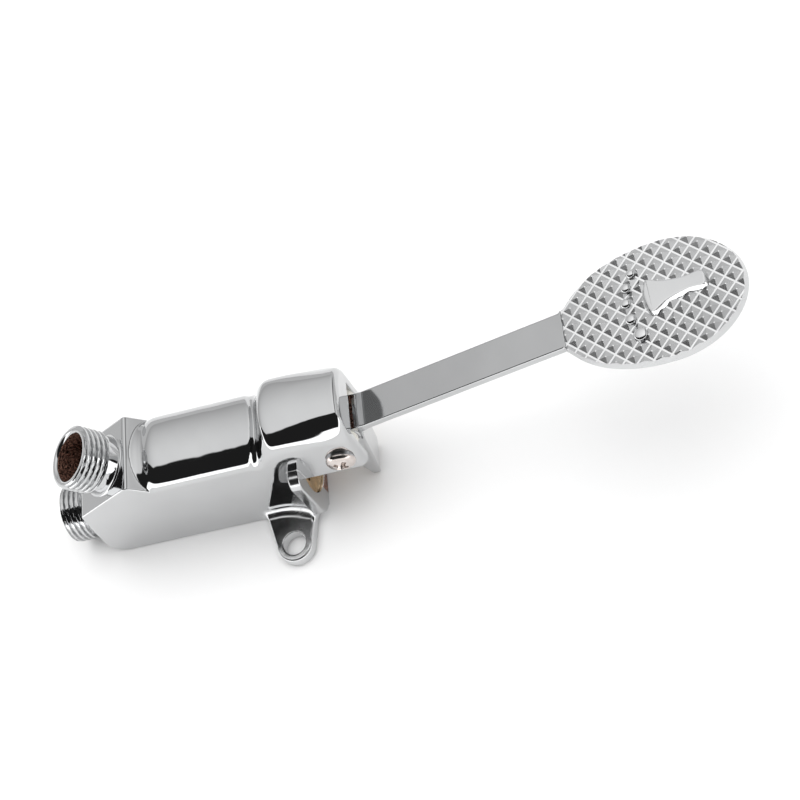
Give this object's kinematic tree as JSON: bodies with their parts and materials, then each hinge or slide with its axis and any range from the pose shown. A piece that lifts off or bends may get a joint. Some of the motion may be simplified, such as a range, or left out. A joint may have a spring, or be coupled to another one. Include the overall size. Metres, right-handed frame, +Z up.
{
  "type": "foot valve",
  "caption": "Floor-mounted water valve worked by a foot lever: knurled oval pad on a flat arm, hooded chrome body with male pipe ends, ears for floor screws and a spring-closed stem.",
  "frame": {"origin": "middle of the two floor-screw holes, on the underside of the body", "axes": "+X from the pipe ends to the pedal, +Z up from the floor, Y across the body"},
  "size_m": [0.2394, 0.0644, 0.0652],
  "materials": {
    "chrome_casting": "polished chrome plate on cast brass",
    "chrome_lever": "polished chrome plate, satin in the knurl",
    "brass": "turned brass, slightly dulled",
    "steel": "turned stainless steel",
    "screw_steel": "bright steel with a warm tint",
    "spring_steel": "drawn spring wire",
    "rubber": "moulded nitrile rubber",
    "bearing_plastic": "machined acetal",
    "gasket_fibre": "pressed fibre"
  },
  "bodies": {
    "valve_body": {"body_casting": "chrome_casting", "seat_insert": "brass", "seat_o_ring": "rubber", "spring_washer": "steel", "return_spring": "spring_steel", "gland_plug": "brass", "gland_gasket": "gasket_fibre", "gland_bush": "bearing_plastic", "stem_o_rings": "rubber", "pocket_ring": "spring_steel", "stem_wiper": "rubber", "pivot_screw": "screw_steel", "pivot_lock_washer": "spring_steel", "thrust_washers": "bearing_plastic"},
    "stem": {"valve_stem": "steel", "seal_washer": "steel", "valve_seal": "rubber", "valve_disc": "brass", "disc_nut": "steel"},
    "pedal": {"lever": "chrome_lever", "lever_sleeve": "brass"}
  },
  "joints": [
    {"name": "pedal_hinge", "type": "hinge", "parent": "valve_body", "child": "pedal", "pos_m": [0.027, 0, 0.0321], "axis": [0, 1, 0], "range_deg": [0, 13], "stiffness_Nm_per_rad": 0.5, "springref_deg": -28.65},
    {"name": "stem_slide", "type": "slide", "parent": "valve_body", "child": "stem", "axis": [-1, 0, 0], "range_m": [0, 0.0036], "deforming": ["return_spring"]}
  ],
  "couplings": [
    {"joint": "stem_slide", "follows": "pedal_hinge", "m_per_rad": 0.01583}
  ]
}
